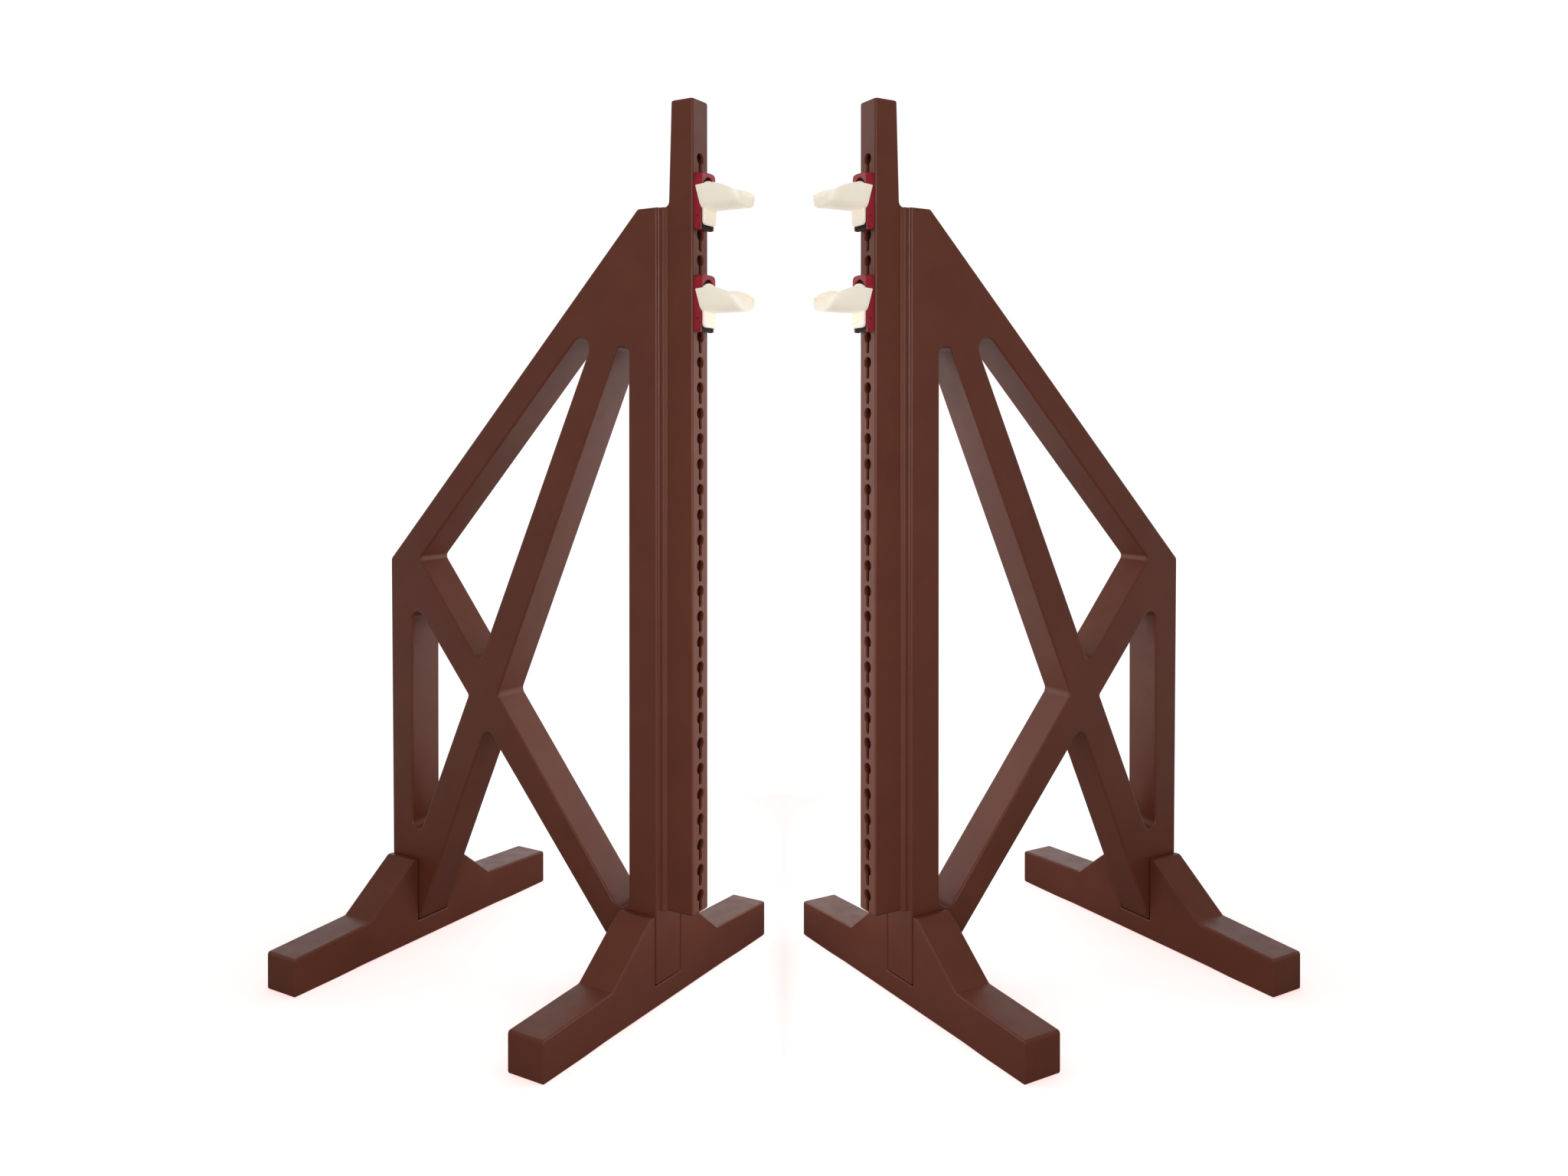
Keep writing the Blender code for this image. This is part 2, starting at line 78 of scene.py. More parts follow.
# The slot is roomier and the arch flatter than in the CAD model.
FOOT_LENGTH, FOOT_WIDTH, FOOT_EDGE = 0.746, 0.0835, 0.0035
FOOT_CENTRES = {"near": 0.1195, "far": 0.7745}
BEAM_END, BEAM_INNER = 0.077, 0.086
GUSSET_BASE_Y, GUSSET_TOP_Y, GUSSET_TOP = 0.178, 0.058, 0.1836
SLOT_HALF_Y, SLOT_FLOOR = 0.0434, 0.0442
ARCH_HALF, ARCH_RISE, ARCH_RAMP = 0.200, 0.0015, 0.060

CUP_KEYS = {"upper": 27, "lower": 23}   # keyhole of each bracket's low stud
STUD_ABOVE = 0.0183
STUD_SHANK = 0.00375
BRACKET_LOW, BRACKET_HEIGHT, BRACKET_HALF, BRACKET_WALL = 0.0035, 0.1165, 0.023, 0.0035
BRACKET_BACK, BRACKET_DEPTH = 0.004, 0.0165
BRACKET_EDGE = 0.0006
HOOD_BOTTOM, HOOD_DEPTH, HOOD_THICK = 0.089, 0.020, 0.0035
ARCH_TOP, ARCH_FALL = 0.107, 0.018
HINGE_X, HINGE_Z = 0.0125, 0.0086
CATCH_X, CATCH_Z = 0.0086, 0.0300
PIN_RADIUS, PIN_HOLE, PIN_HALF = 0.0018, 0.0019, 0.0228
LATCH_LOW, LATCH_HIGH = 0.0905, 0.1125
PLATE_BACK, PLATE_FRONT, PLATE_HALF, PLATE_EDGE = 0.0170, 0.0255, 0.0210, 0.0036
PLATE_BOTTOM, PLATE_TOP, PLATE_TOP_FALL = 0.0120, 0.0990, 0.008
KNUCKLE_RADIUS, KNUCKLE_HALF, KNUCKLE_TOP = 0.0045, 0.0188, 0.0230
TROUGH_BOTTOM, TROUGH_THICK, LIP = 0.0395, 0.0042, 0.0012
# Trough: x out, half width, height of its rim, how far it is round rather than flared
TROUGH = [(0.0185, 0.0450, 0.0840, 0.0), (0.0400, 0.0455, 0.0855, 0.3),
          (0.0600, 0.0445, 0.0850, 0.5), (0.0850, 0.0405, 0.0775, 0.8),
          (0.1000, 0.0345, 0.0695, 1.0), (0.1075, 0.0290, 0.0655, 1.0),
          (0.1105, 0.0240, 0.0635, 1.0)]
TIP_START, TIP_RISE = 0.100, 0.0030  # where the trough's underside turns up, and by how much
# Wall across the tip: x out, outer half width, its bottom above the trough's bottom, its top
END_WALL = [(0.1064, 0.0277, 0.0014, 0.0594), (0.1072, 0.0272, 0.0016, 0.0602),
            (0.1086, 0.0258, 0.0018, 0.0605), (0.1098, 0.0240, 0.0022, 0.0602),
            (0.1105, 0.0222, 0.0028, 0.0592)]
# Flared cross-section, as shares of the half width and of the height
FLARE = [(1.0, 1.0), (0.9, 0.78), (0.8, 0.56), (0.67, 0.28), (0.56, 0.15), (0.38, 0.05),
         (0.0, 0.0)]
SQUARE_START, SQUARE_LENGTH = 0.090, 0.0175   # where the cross-section turns squarer

# ---- light and camera ----------------------------------------------------------------
FRONT_LIGHT, BACK_LIGHT, TOP_LIGHT = 0.22, 1.10, 0.15   # surround's strength
BACKDROP = 1.1                     # surround's strength as the camera sees it
OVERHEAD_LIGHT, CARD_LIGHT, FRONT_PANEL_LIGHT = 48, 3.6, 85   # watts
FLOOR_RADIUS = 1.7
CAMERA_DISTANCE, CAMERA_HEIGHT, CAMERA_TILT = 2.6411, 1.141, 0.0047
LENS, SHIFT = 28.18, -0.0963


# ---- materials -----------------------------------------------------------------------

def nodes_of(name):
    made = bpy.data.materials.new(name)
    made.use_nodes = True
    tree = made.node_tree
    return made, tree, tree.nodes["Principled BSDF"]


def noise(tree, coords, scale, detail=4.0, roughness=0.55):
    made = tree.nodes.new("ShaderNodeTexNoise")
    made.inputs["Scale"].default_value = scale
    made.inputs["Detail"].default_value = detail
    made.inputs["Roughness"].default_value = roughness
    tree.links.new(coords.outputs["Object"], made.inputs["Vector"])
    return made.outputs["Fac"]


def mapped(tree, value, source, target, interpolation="LINEAR"):
    """Value turned from one range into another."""
    made = tree.nodes.new("ShaderNodeMapRange")
    made.interpolation_type = interpolation
    made.inputs["From Min"].default_value, made.inputs["From Max"].default_value = source
    made.inputs["To Min"].default_value, made.inputs["To Max"].default_value = target
    tree.links.new(value, made.inputs["Value"])
    return made.outputs["Result"]


def spread(tree, value, low, high):
    """Noise turned into a value between low and high."""
    return mapped(tree, value, (0.30, 0.70), (low, high))


def plastic(name, dark, light, rough, coarse, fine, bump, distance):
    """Moulded plastic: blotches of two near colours, uneven gloss and a fine grain."""
    made, tree, shader = nodes_of(name)
    coords = tree.nodes.new("ShaderNodeTexCoord")
    blend = tree.nodes.new("ShaderNodeMix")
    blend.data_type = "RGBA"
    blend.inputs[6].default_value = (*dark, 1)
    blend.inputs[7].default_value = (*light, 1)
    tree.links.new(spread(tree, noise(tree, coords, coarse), 0.0, 1.0), blend.inputs[0])
    tree.links.new(blend.outputs[2], shader.inputs["Base Color"])
    gloss = spread(tree, noise(tree, coords, coarse * 3.1), rough - 0.05, rough + 0.06)
    tree.links.new(gloss, shader.inputs["Roughness"])
    grain = tree.nodes.new("ShaderNodeBump")
    grain.inputs["Strength"].default_value = bump
    grain.inputs["Distance"].default_value = distance
    tree.links.new(noise(tree, coords, fine, 2.0), grain.inputs["Height"])
    tree.links.new(grain.outputs["Normal"], shader.inputs["Normal"])
    return made, shader


def materials():
    brown, shader = plastic("brown_rotomoulded", (0.138, 0.0345, 0.0175), (0.160, 0.0410, 0.0210),
                            0.38, 9.0, 420.0, 0.20, 0.0003)
    shader.inputs["Specular IOR Level"].default_value = 0.34
    red, shader = plastic("crimson_plastic", (0.31, 0.008, 0.018), (0.39, 0.012, 0.027),
                          0.34, 60.0, 1500.0, 0.12, 0.0002)
    cream, shader = plastic("cream_plastic", (0.89, 0.815, 0.70), (0.93, 0.86, 0.75),
                            0.38, 35.0, 1400.0, 0.08, 0.0002)
    # Painted light: the cups glow a warm cream of their own, though they are no lamp.
    shader.inputs["Emission Color"].default_value = (0.97, 0.87, 0.72, 1)
    shader.inputs["Emission Strength"].default_value = 0.22      # painted light: a glow of its own that makes the cups brighter; the thin wall's real translucency is the subsurface below
    shader.inputs["Subsurface Weight"].default_value = 0.60
    shader.inputs["Subsurface Radius"].default_value = (1.0, 0.8, 0.6)
    shader.inputs["Subsurface Scale"].default_value = 0.010
    # Black of the latch and hinge blocks: painted shade, standing for the deep shade in the hood
    # and in the bracket's lower notch.
    black, shader = plastic("black_plastic", (0.004, 0.0035, 0.0035), (0.008, 0.007, 0.007),
                            0.55, 80.0, 1600.0, 0.25, 0.0002)
    shader.inputs["Specular IOR Level"].default_value = 0.15
    steel, shader = plastic("turned_steel", (0.36, 0.35, 0.34), (0.48, 0.47, 0.46),
                            0.34, 120.0, 2500.0, 0.10, 0.0001)
    shader.inputs["Metallic"].default_value = 1.0
    dark, shader = plastic("blackened_steel", (0.050, 0.045, 0.044), (0.085, 0.078, 0.076),
                           0.42, 120.0, 2500.0, 0.10, 0.0001)
    shader.inputs["Metallic"].default_value = 1.0
    return {"brown": brown, "red": red, "cream": cream, "black": black, "steel": steel,
            "dark": dark}


# ---- mesh helpers --------------------------------------------------------------------

def arc(centre, radius, start, sweep, steps):
    angles = [start + sweep * step / steps for step in range(steps + 1)]
    return [(centre[0] + radius * cos(a), centre[1] + radius * sin(a)) for a in angles]


def rounded(corners, radii, steps=8):
    """Outline with an arc of the given radius in place of each corner."""
    outline = []
    for index, corner in enumerate(corners):
        if not radii[index]:
            outline.append(corner)
            continue
        here = Vector(corner)
        back = (Vector(corners[index - 1]) - here).normalized()
        ahead = (Vector(corners[(index + 1) % len(corners)]) - here).normalized()
        half = back.angle(ahead) / 2
        centre = here + (back + ahead).normalized() * radii[index] / sin(half)
        start = here + back * radii[index] / tan(half) - centre
        end = here + ahead * radii[index] / tan(half) - centre
        first = atan2(start.y, start.x)
        sweep = (atan2(end.y, end.x) - first + pi) % (2 * pi) - pi
        outline += arc(centre, radii[index], first, sweep, steps)
    return outline


def area(outline):
    """Signed area: positive for an outline that runs anticlockwise."""
    pairs = zip(outline, outline[1:] + outline[:1])
    return sum(a[0] * b[1] - b[0] * a[1] for a, b in pairs) / 2


def grown(outline, distance):
    """Outline moved outwards by a distance, for one that runs anticlockwise."""
    moved = []
    for index, point in enumerate(outline):
        here = Vector(point)
        back = (here - Vector(outline[index - 1])).normalized()
        ahead = (Vector(outline[(index + 1) % len(outline)]) - here).normalized()
        normal = Vector((back.y + ahead.y, -back.x - ahead.x))
        normal.normalize()
        stretch = max(0.4, normal.dot(Vector((ahead.y, -ahead.x))))
        moved.append(tuple(here + normal * distance / stretch))
    return moved


def quarter(radius, half, steps=4):
    """Rounded edge of a slab: (distance in from the outline, height) from its face down."""
    angles = [pi / 2 * step / steps for step in range(steps + 1)]
    return [(radius * (1 - sin(a)), half - radius * (1 - cos(a))) for a in angles]


def edge_profile(half, radius):
    """Whole edge of a slab, front to back."""
    front = quarter(radius, half)
    return front + [(inset, -height) for inset, height in reversed(front)]


def slab(outlines, profile, to_world):
    """Plate with holes: the first outline is the outside, the others are holes."""
    shape = bmesh.new()
    rims = []
    for number, outline in enumerate(outlines):
        if area(outline) < 0:
            outline = outline[::-1]
        sign = -1 if number == 0 else 1
        rings = []
        for inset, height in profile:
            ring = grown(outline, sign * inset)
            rings.append([shape.verts.new(to_world(a, b, height)) for a, b in ring])
        for upper, lower in zip(rings, rings[1:]):
            for index in range(len(upper)):
                nearby = (index + 1) % len(upper)
                shape.faces.new((upper[index], upper[nearby], lower[nearby], lower[index]))
        rims.append((rings[0], rings[-1]))
    for side in (0, 1):
        loops = [rim[side] for rim in rims]
        flat = [vert for loop in loops for vert in loop]
        for triple in tessellate_polygon([[vert.co for vert in loop] for loop in loops]):
            shape.faces.new([flat[number] for number in triple])
    return finished(shape)


def loft(sections):
    """Closed solid through rings of points of equal count, with a cap on each end."""
    shape = bmesh.new()
    rings = [[shape.verts.new(point) for point in ring] for ring in sections]
    for upper, lower in zip(rings, rings[1:]):
        for index in range(len(upper)):
            nearby = (index + 1) % len(upper)
            shape.faces.new((upper[index], upper[nearby], lower[nearby], lower[index]))
    shape.faces.new(rings[0])
    shape.faces.new(rings[-1])
    return finished(shape)


def finished(shape):
    """Mesh from a bmesh, with its faces turned outwards."""
    bmesh.ops.recalc_face_normals(shape, faces=shape.faces)
    mesh = bpy.data.meshes.new("piece")
    shape.to_mesh(mesh)
    shape.free()
    return mesh


def joined(meshes):
    """One mesh from several, with no boolean."""
    shape = bmesh.new()
    for mesh in meshes:
        shape.from_mesh(mesh)
    mesh = bpy.data.meshes.new("joined")
    shape.to_mesh(mesh)
    shape.free()
    return mesh


def boolean(mesh, steps):
    """Mesh after (operation, tool mesh) steps."""
    base = bpy.data.objects.new("base", mesh)
    bpy.context.scene.collection.objects.link(base)
    tools = []
    for operation, tool_mesh in steps:
        tool = bpy.data.objects.new("tool", tool_mesh)
        bpy.context.scene.collection.objects.link(tool)
        change = base.modifiers.new("cut", "BOOLEAN")
        change.operation = operation
        change.solver = "EXACT"
        change.object = tool
        tools.append(tool)
    return applied(base, tools)


def applied(base, tools=()):
    """Mesh of an object with its modifiers applied; the objects are removed."""
    bpy.context.view_layer.update()
    graph = bpy.context.evaluated_depsgraph_get()
    mesh = bpy.data.meshes.new_from_object(base.evaluated_get(graph))
    for used in (base, *tools):
        bpy.data.objects.remove(used, do_unlink=True)
    return mesh


def softened(mesh, width, segments=2, angle=35):
    """Mesh with its sharp edges rounded."""
    base = bpy.data.objects.new("base", mesh)
    bpy.context.scene.collection.objects.link(base)
    edge = base.modifiers.new("edges", "BEVEL")
    edge.width = width
    edge.segments = segments
    edge.limit_method = "ANGLE"
    edge.angle_limit = radians(angle)
    edge.use_clamp_overlap = True
    return applied(base)


def turned(profile, axis, steps, centre=(0, 0, 0)):
    """Round solid from (along, radius) points, turned about the x or y axis."""
    shape = bmesh.new()
    middle = Vector(centre)
    direction = Vector((1, 0, 0)) if axis == "x" else Vector((0, 1, 0))
    verts = [shape.verts.new(middle + direction * a + Vector((0, 0, r))) for a, r in profile]
    edges = [shape.edges.new(pair) for pair in zip(verts, verts[1:])]
    bmesh.ops.spin(shape, geom=verts + edges, cent=middle, axis=direction,
                   angle=2 * pi, steps=steps, use_merge=True)
    bmesh.ops.remove_doubles(shape, verts=shape.verts, dist=1e-6)
    return finished(shape)


def place(name, mesh, matrix, finish, body, replaced, angle=32):
    """Piece in the row frame, riding on its body in place of its CAD node."""
    own = mesh.copy()
    own.name = name
    own.transform(matrix)
    own.materials.clear()
    own.materials.append(finish)
    for face in own.polygons:
        face.material_index = 0
    own.shade_smooth()
    own.set_sharp_from_angle(angle=radians(angle))
    item = bpy.data.objects.new(name, own)
    bpy.context.scene.collection.objects.link(item)
    even = item.modifiers.new("even_shading", "WEIGHTED_NORMAL")
    even.keep_sharp = True
    even.weight = 80
    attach(item, body)
    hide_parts(replaced)
    return item


# ---- wing ----------------------------------------------------------------------------

def height_at(line, x):
    return line[1] + line[2] * (x - line[0])


def x_at(line, z):
    return line[0] + (z - line[1]) / line[2]


def crossing(line, other):
    """Where two edges meet; a plain number is an upright edge at that s."""
    if isinstance(line, float):
        return (line, height_at(other, line))
    if isinstance(other, float):
        return (other, height_at(line, other))
    (x1, z1, m1), (x2, z2, m2) = line, other
    x = (z2 - z1 + m1 * x1 - m2 * x2) / (m1 - m2)
    return (x, height_at(line, x))


def panel_outlines():
    """The panel's outside, then its three openings."""
    outer = [(PANEL_START, PANEL_TOP), (RAIL_TOP_X, PANEL_TOP), KNEE,
             (LEG_OUTER_X, LEG_BOTTOM), (x_at(BRACE_1_LOWER, LEG_BOTTOM), LEG_BOTTOM),
             crossing(BRACE_1_LOWER, BRACE_2_LOWER),
             (x_at(BRACE_2_LOWER, LEG_BOTTOM), LEG_BOTTOM), (PANEL_START, LEG_BOTTOM)]
    upper = [crossing(RAIL_INNER, BRACE_1_UPPER), crossing(RAIL_INNER, BRACE_2_UPPER),
             crossing(BRACE_1_UPPER, BRACE_2_UPPER)]
    inner = [crossing(POST_RAIL_X, BRACE_1_LOWER), crossing(BRACE_1_LOWER, BRACE_2_UPPER),
             crossing(POST_RAIL_X, BRACE_2_UPPER)]
    side = [crossing(OUTER_RAIL_X, BRACE_2_LOWER), crossing(OUTER_RAIL_X, BRACE_1_UPPER),
            crossing(BRACE_1_UPPER, BRACE_2_LOWER)]
    return [rounded(outer, [0.003, 0.010, 0.012, 0.004, 0.004, 0.016, 0.004, 0.004]),
            rounded(upper, [0.023, 0.011, 0.014], 12),
            rounded(inner, [0.0162, 0.016, 0.0227], 12),
            rounded(side, [0.0178, 0.0166, 0.007], 12)]


def rounded_rectangle(low, high, half, radius, steps=4):
    corners = [(low, -half), (high, -half), (high, half), (low, half)]
    return rounded(corners, [radius] * 4, steps)


def post_back(z):
    """Depth of the post: hidden in the ledge below the panel's top, tapering above it."""
    if z <= PANEL_TOP:
        return POST_BACK_IN_LEDGE
    rise = z - PANEL_TOP
    taper = POST_BACK_ABOVE - POST_TAPER * rise / (POST_TOP - PANEL_TOP)
    if rise >= STUB_FILLET:
        return taper
    return taper + STUB_FILLET - sqrt(STUB_FILLET ** 2 - (STUB_FILLET - rise) ** 2)


def post_mesh():
    """The post, level by level: (height, how far its outline is drawn in)."""
    turns = [pi / 2 * step / 4 for step in range(5)]
    ends = [(POST_BOTTOM + EDGE * (1 - cos(a)), EDGE * 0.8 * (1 - sin(a))) for a in turns]
    fillet = [STUB_FILLET * (1 - cos(pi / 2 * step / 6)) for step in range(7)]
    levels = list(ends)
    levels += [(z / 100, 0.0) for z in range(25, 156, 10)]
    levels += [(PANEL_TOP + rise, 0.0) for rise in fillet]
    levels += [(1.62 + 0.04 * step, 0.0) for step in range(4)]
    levels += [(POST_TOP - (z - POST_BOTTOM), inset) for z, inset in reversed(ends)]
    rings = []
    for z, inset in levels:
        ring = rounded_rectangle(inset, post_back(z) - inset, POST_HALF - inset, EDGE)
        rings.append([Vector((s, t, z)) for s, t in ring])
    return loft(rings)


def ledge_mesh():
    """The stepped strip between the post and the panel."""
    side = [(0.0560, 0.0265), (0.0598, 0.0272), (0.0612, 0.0282), (0.0652, 0.0332),
            (0.0666, 0.0343), (0.0690, LEDGE_HALF), (0.0742, LEDGE_HALF), (0.0756, 0.0355),
            (0.0790, 0.0392), (0.0850, 0.0400)]
    outline = side + [(s, -t) for s, t in reversed(side)]
    levels = [(POST_BOTTOM, 0.0015), (POST_BOTTOM + 0.0015, 0.0), (PANEL_TOP - 0.0030, 0.0),
              (PANEL_TOP - 0.0012, 0.0006), (PANEL_TOP - 0.0002, 0.0024)]
    rings = []
    for z, inset in levels:
        rings.append([Vector((s, t * (1 - inset / LEDGE_HALF), z)) for s, t in outline])
    return loft(rings)


def keyhole_tools():
    """Keyholes with a small rounded mouth: (depth, growth of the outline)."""
    meshes = []
    profile = [(-0.003, 0.0012), (0.0, 0.0012), (0.0004, 0.0005), (0.0012, 0.0), (0.008, 0.0)]
    for index in range(KEYHOLES):
        z = FIRST_HEAD_Z + index * PITCH
        rings = []
        for depth, growth in profile:
            head, slot = HEAD_RADIUS + growth, SLOT_HALF + growth
            join = asin(slot / head)
            outline = arc((0, z), head, join - pi / 2, 2 * pi - 2 * join, 24)
            outline += arc((0, z - SLOT_DROP), slot, pi, pi, 10)
            rings.append([Vector((depth, a, b)) for a, b in outline])
        meshes.append(loft(rings))
    return joined(meshes)


def hollow_mesh():
    """Inside of the post, which below the panel's top opens into the panel's first rail."""
    rings = []
    for z, back in HOLLOW_LEVELS:
        ring = [(KEY_WALL, -HOLLOW_HALF), (back, -HOLLOW_HALF), (back, HOLLOW_HALF),
                (KEY_WALL, HOLLOW_HALF)]
        rings.append([Vector((a, b, z)) for a, b in ring])
    return loft(rings)


def wing_mesh():
    profile = edge_profile(PANEL_HALF, EDGE)
    panel = slab(panel_outlines(), profile, lambda a, b, height: Vector((a, height, b)))
    return boolean(panel, [("UNION", ledge_mesh()), ("UNION", post_mesh()),
                           ("DIFFERENCE", hollow_mesh()), ("DIFFERENCE", keyhole_tools())])


# ---- foot ----------------------------------------------------------------------------

def foot_mesh():
    """The foot's outline, from the middle of its arch round to the slot, is mirrored."""
    half = [(ARCH_HALF, ARCH_RISE), (ARCH_HALF + ARCH_RAMP, 0), (FOOT_LENGTH / 2, 0),
            (FOOT_LENGTH / 2, BEAM_END), (GUSSET_BASE_Y, BEAM_INNER),
            (GUSSET_TOP_Y, GUSSET_TOP), (SLOT_HALF_Y, GUSSET_TOP), (SLOT_HALF_Y, SLOT_FLOOR)]
    radii = [0.02, 0.02, 0.005, 0.006, 0.008, 0.006, 0.004, 0.002]
    corners = half + [(-y, z) for y, z in reversed(half)]
    outline = rounded(corners, radii + radii[::-1], 4)
    profile = edge_profile(FOOT_WIDTH / 2, FOOT_EDGE)
    return slab([outline], profile, lambda a, b, height: Vector((height, a, b)))


# ---- bracket and its small pieces ----------------------------------------------------

def arch_height(y, top, fall, half):
    """Height of a shallow arch at y, which has fallen by `fall` at its ends."""
    return top - fall * (y / half) ** 2


def flat_prism(outline, low, high, along):
    """Outline drawn out along y or x."""
    if along == "y":
        rings = [[Vector((a, y, b)) for a, b in outline] for y in (low, high)]
    else:
        rings = [[Vector((x, a, b)) for a, b in outline] for x in (low, high)]
    return loft(rings)


def block(low, high):
    """Box between two opposite corners."""
    outline = [(low[0], low[2]), (high[0], low[2]), (high[0], high[2]), (low[0], high[2])]
    return flat_prism(outline, low[1], high[1], "y")


def pin_hole(x, z):
    line = [(-0.03, 0), (-0.03, PIN_HOLE), (0.03, PIN_HOLE), (0.03, 0)]
    return turned(line, "y", 24, (x, 0, z))


def bracket_mesh():
    """U-shaped channel with a hood; its sides and front are cut to two rounded outlines."""
    wide, inner = BRACKET_HALF, BRACKET_HALF - BRACKET_WALL
    corners = [(GAP, BRACKET_HEIGHT), (GAP, BRACKET_LOW), (BRACKET_DEPTH, BRACKET_LOW),
               (BRACKET_DEPTH, HOOD_BOTTOM), (HOOD_DEPTH, HOOD_BOTTOM + 0.003),
               (HOOD_DEPTH, BRACKET_HEIGHT)]
    side = rounded(corners, [0.004, 0.008, 0.004, 0.002, 0.002, 0.006], 6)
    body = flat_prism(side, -wide, wide, "y")
    front = rounded([(-wide, BRACKET_LOW), (wide, BRACKET_LOW), (wide, BRACKET_HEIGHT),
                     (-wide, BRACKET_HEIGHT)], [0.002, 0.002, 0.011, 0.011], 8)
    hood_inside = HOOD_DEPTH - HOOD_THICK
    channel = [(BRACKET_BACK, -0.01), (0.03, -0.01), (0.03, HOOD_BOTTOM - 0.004),
               (hood_inside, HOOD_BOTTOM - 0.004), (hood_inside, BRACKET_HEIGHT - HOOD_THICK),
               (BRACKET_BACK, BRACKET_HEIGHT - HOOD_THICK)]
    steps = [wide * (1.1 - 2.2 * step / 24) for step in range(25)]
    arch = [(y, arch_height(y, ARCH_TOP, ARCH_FALL, wide)) for y in steps]
    arch += [(-1.1 * wide, 0.05), (1.1 * wide, 0.05)]
    holes = [pin_hole(HINGE_X, HINGE_Z), pin_hole(CATCH_X, CATCH_Z)]
    mesh = boolean(body, [("INTERSECT", flat_prism(front, -0.01, 0.04, "x")),
                          ("DIFFERENCE", flat_prism(channel, -inner, inner, "y")),
                          ("DIFFERENCE", flat_prism(arch, BRACKET_DEPTH - 0.0004, 0.03, "x")),
                          ("DIFFERENCE", joined(holes))])
    return softened(mesh, BRACKET_EDGE)


def stud_mesh():
    """Mushroom stud: its head behind the keyhole wall, its shank, its rivet head."""
    behind = -(KEY_WALL + 0.0008)
    front = BRACKET_BACK + GAP
    profile = [(behind - 0.0030, 0), (behind - 0.0030, 0.0066), (behind - 0.0026, 0.0078),
               (behind - 0.0018, 0.0084), (behind - 0.0006, 0.0085), (behind, 0.0081),
               (behind, STUD_SHANK), (front, STUD_SHANK), (front, 0.0058),
               (BRACKET_BACK + 0.0012, 0.0060), (BRACKET_BACK + 0.0021, 0.0050),
               (BRACKET_BACK + 0.0027, 0.0030), (BRACKET_BACK + 0.0028, 0)]
    return turned(profile, "x", 28)


def pin_mesh():
    end, radius = PIN_HALF, PIN_RADIUS
    line = [(-end, 0), (-end, radius * 0.55), (-end + 0.0002, radius * 0.8),
            (-end + 0.0006, radius), (end - 0.0006, radius), (end - 0.0002, radius * 0.8),
            (end, radius * 0.55), (end, 0)]
    return turned(line, "y", 20)


def latch_mesh():
    # Latch block in the hood: black as painted shade, for the dark gap above the cup's plate.
    half = BRACKET_HALF - BRACKET_WALL - GAP
    mesh = block((BRACKET_BACK + GAP, -half, LATCH_LOW),
                 (HOOD_DEPTH - HOOD_THICK - GAP, half, LATCH_HIGH))
    return softened(mesh, 0.0012, 3)


def hinge_block_mesh():
    """Knuckle behind the cup's plate, turning on the hinge pin; it is black as painted shade, for
    the deep shade in the bracket's lower notch.
    """
    front = PLATE_BACK - GAP
    round_end = arc((HINGE_X, HINGE_Z), KNUCKLE_RADIUS, radians(20), radians(-200), 16)
    web = [(HINGE_X - 0.0040, KNUCKLE_TOP - 0.002), (HINGE_X - 0.0028, KNUCKLE_TOP),
           (front, KNUCKLE_TOP), (front, HINGE_Z + 0.0016)]
    body = flat_prism(round_end + web, -KNUCKLE_HALF, KNUCKLE_HALF, "y")
    return softened(boolean(body, [("DIFFERENCE", pin_hole(HINGE_X, HINGE_Z))]), 0.0005)


# ---- cup -----------------------------------------------------------------------------

def between(rows, x):
    """Smooth value of each column of a table at x, by a Catmull-Rom curve."""
    last = len(rows) - 1
    index = min(max(i for i in range(last + 1) if rows[i][0] <= x + 1e-9), last - 1)
    p = [rows[max(min(index + k, last), 0)] for k in (-1, 0, 1, 2)]
    u = (x - p[1][0]) / (p[2][0] - p[1][0])
    values = []
    for column in range(1, len(rows[0])):
        a, b, c, d = (row[column] for row in p)
        slope_b = (c - a) / max(p[2][0] - p[0][0], 1e-9) * (p[2][0] - p[1][0])
        slope_c = (d - b) / max(p[3][0] - p[1][0], 1e-9) * (p[2][0] - p[1][0])
        values.append((2 * u ** 3 - 3 * u ** 2 + 1) * b + (u ** 3 - 2 * u ** 2 + u) * slope_b
                      + (3 * u ** 2 - 2 * u ** 3) * c + (u ** 3 - u ** 2) * slope_c)
    return values


def section(x, half, rim, bottom, roundness, steps=18):
    """Flared at the back, half round further out, squarer at the tip."""
    power = 1 - 0.4 * min(max((x - SQUARE_START) / SQUARE_LENGTH, 0), 1)
    right = []
    for step in range(steps + 1):
        share = step / steps
        along = share * (len(FLARE) - 1)
        index = min(int(along), len(FLARE) - 2)
        u = along - index
        across = FLARE[index][0] * (1 - u) + FLARE[index + 1][0] * u
        up = FLARE[index][1] * (1 - u) + FLARE[index + 1][1] * u
        turn = pi / 2 * share
        y = across + (max(cos(turn), 0) ** power - across) * roundness
        z = up + (1 - sin(turn) ** power - up) * roundness
        right.append((half * y, bottom + (rim - bottom) * z))
    return right + [(-y, z) for y, z in reversed(right[:-1])]


def trough_bottom(x):
    share = min(max((x - TIP_START) / (TROUGH[-1][0] - TIP_START), 0), 1)
    return TROUGH_BOTTOM + TIP_RISE * share ** 2


